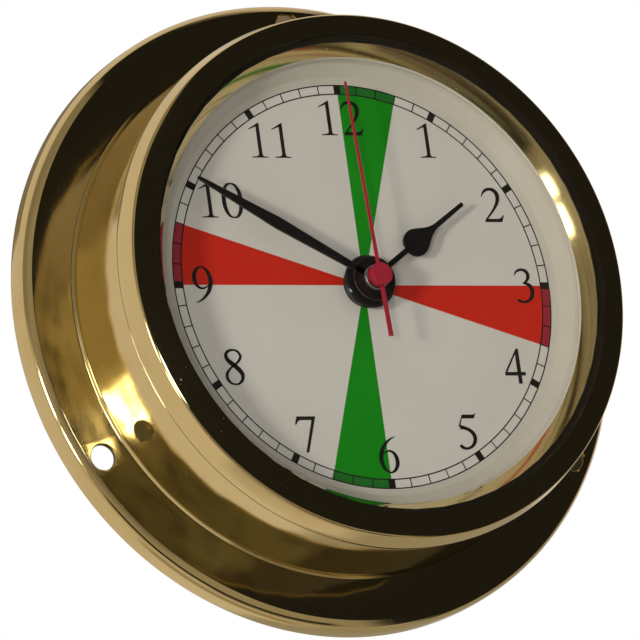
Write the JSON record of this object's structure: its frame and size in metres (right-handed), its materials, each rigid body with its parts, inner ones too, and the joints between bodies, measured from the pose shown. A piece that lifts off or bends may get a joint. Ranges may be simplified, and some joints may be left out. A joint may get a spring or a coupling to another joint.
{
  "type": "ship's clock",
  "caption": "Round brass bulkhead clock with a flanged base, polished front ring, flat glass, numbered dial with coloured sectors, spade hour hand and a quartz movement.",
  "frame": {"origin": "centre of the back of the base, in the plane of the wall that it lies against", "axes": "+Y into the wall, so the dial faces -Y; +Z towards twelve o'clock; +X to the right of someone who reads the clock"},
  "size_m": [0.127, 0.0329, 0.127],
  "materials": {
    "case_brass": "polished",
    "front_brass": "polished",
    "cone_brass": "polished",
    "glass": "clear flat glass",
    "dial_print": "off-white paint with a black, red and green print",
    "hand_black": "black satin paint",
    "hand_crimson": "crimson satin paint",
    "nut_steel": "plated",
    "steel": "plain",
    "black_plastic": "moulded",
    "white_plastic": "moulded",
    "small_brass": "turned",
    "rubber": "plain",
    "copper_wire": "enamelled copper wire",
    "board": "solder mask",
    "battery_jacket": "plain coloured jacket"
  },
  "bodies": {
    "case": {"case_body": "case_brass"},
    "front": {"bezel_ring": "front_brass", "skirt_seal": "rubber", "glass": "glass", "glass_gasket": "rubber", "glass_ring": "cone_brass", "dial": "dial_print", "dial_carrier": "black_plastic", "carrier_snap_ring": "steel", "movement_front_case": "black_plastic", "movement_rear_case": "black_plastic", "movement_washer": "rubber", "movement_nut": "small_brass", "battery_contact_plus": "steel", "battery_contact_minus": "steel", "gear_plate": "black_plastic", "train_bridge": "small_brass", "stator": "steel", "coil_core": "steel", "coil_bobbin": "black_plastic", "coil_winding": "copper_wire", "stator_screw_1": "steel", "stator_screw_2": "steel", "circuit_board": "board", "quartz_crystal": "nut_steel", "clock_chip": "black_plastic"},
    "battery": {"battery": "battery_jacket"},
    "second": {"second_wheel": "white_plastic", "second_hand": "hand_crimson"},
    "rotor": {"rotor": "steel"},
    "step": {"step_wheel": "white_plastic"},
    "third": {"third_wheel": "white_plastic"},
    "centre": {"centre_wheel": "white_plastic"},
    "minute": {"cannon_pinion": "small_brass", "minute_hand": "hand_black", "minute_nut": "nut_steel"},
    "motion": {"minute_wheel": "white_plastic"},
    "hour": {"hour_wheel": "white_plastic", "hour_hand": "hand_black"},
    "setting": {"setting_knob": "white_plastic"}
  },
  "joints": [
    {"name": "front_slide", "type": "slide", "parent": "case", "child": "front", "axis": [0, -1, 0], "range_m": [0, 0.03]},
    {"name": "battery_slide", "type": "slide", "parent": "front", "child": "battery", "axis": [0, 1, 0], "range_m": [0, 0.016]},
    {"name": "second_turn", "type": "hinge", "parent": "front", "child": "second", "pos_m": [0, -0.014, 0], "axis": [0, 1, 0], "continuous": true},
    {"name": "rotor_turn", "type": "hinge", "parent": "front", "child": "rotor", "pos_m": [0.01222, -0.014, -0.00445], "axis": [0, 1, 0], "continuous": true},
    {"name": "step_turn", "type": "hinge", "parent": "front", "child": "step", "pos_m": [0.00658, -0.014, -0.00239], "axis": [0, 1, 0], "continuous": true},
    {"name": "third_turn", "type": "hinge", "parent": "front", "child": "third", "pos_m": [-0.00936, -0.014, 0], "axis": [0, 1, 0], "continuous": true},
    {"name": "centre_turn", "type": "hinge", "parent": "front", "child": "centre", "pos_m": [0, -0.014, 0], "axis": [0, 1, 0], "continuous": true},
    {"name": "minute_turn", "type": "hinge", "parent": "front", "child": "minute", "pos_m": [0, -0.014, 0], "axis": [0, 1, 0], "continuous": true},
    {"name": "motion_turn", "type": "hinge", "parent": "front", "child": "motion", "pos_m": [0.00789, -0.014, 0.00287], "axis": [0, 1, 0], "continuous": true},
    {"name": "hour_turn", "type": "hinge", "parent": "front", "child": "hour", "pos_m": [0, -0.014, 0], "axis": [0, 1, 0], "continuous": true},
    {"name": "setting_turn", "type": "hinge", "parent": "front", "child": "setting", "pos_m": [0.00502, -0.014, 0.01077], "axis": [0, 1, 0], "continuous": true}
  ],
  "couplings": [
    {"joint": "rotor_turn", "follows": "second_turn", "ratio": 30},
    {"joint": "step_turn", "follows": "second_turn", "ratio": -6},
    {"joint": "third_turn", "follows": "second_turn", "ratio": -0.13333},
    {"joint": "centre_turn", "follows": "second_turn", "ratio": 0.016667},
    {"joint": "motion_turn", "follows": "minute_turn", "ratio": -0.33333},
    {"joint": "hour_turn", "follows": "minute_turn", "ratio": 0.083333},
    {"joint": "setting_turn", "follows": "minute_turn", "ratio": 1}
  ]
}
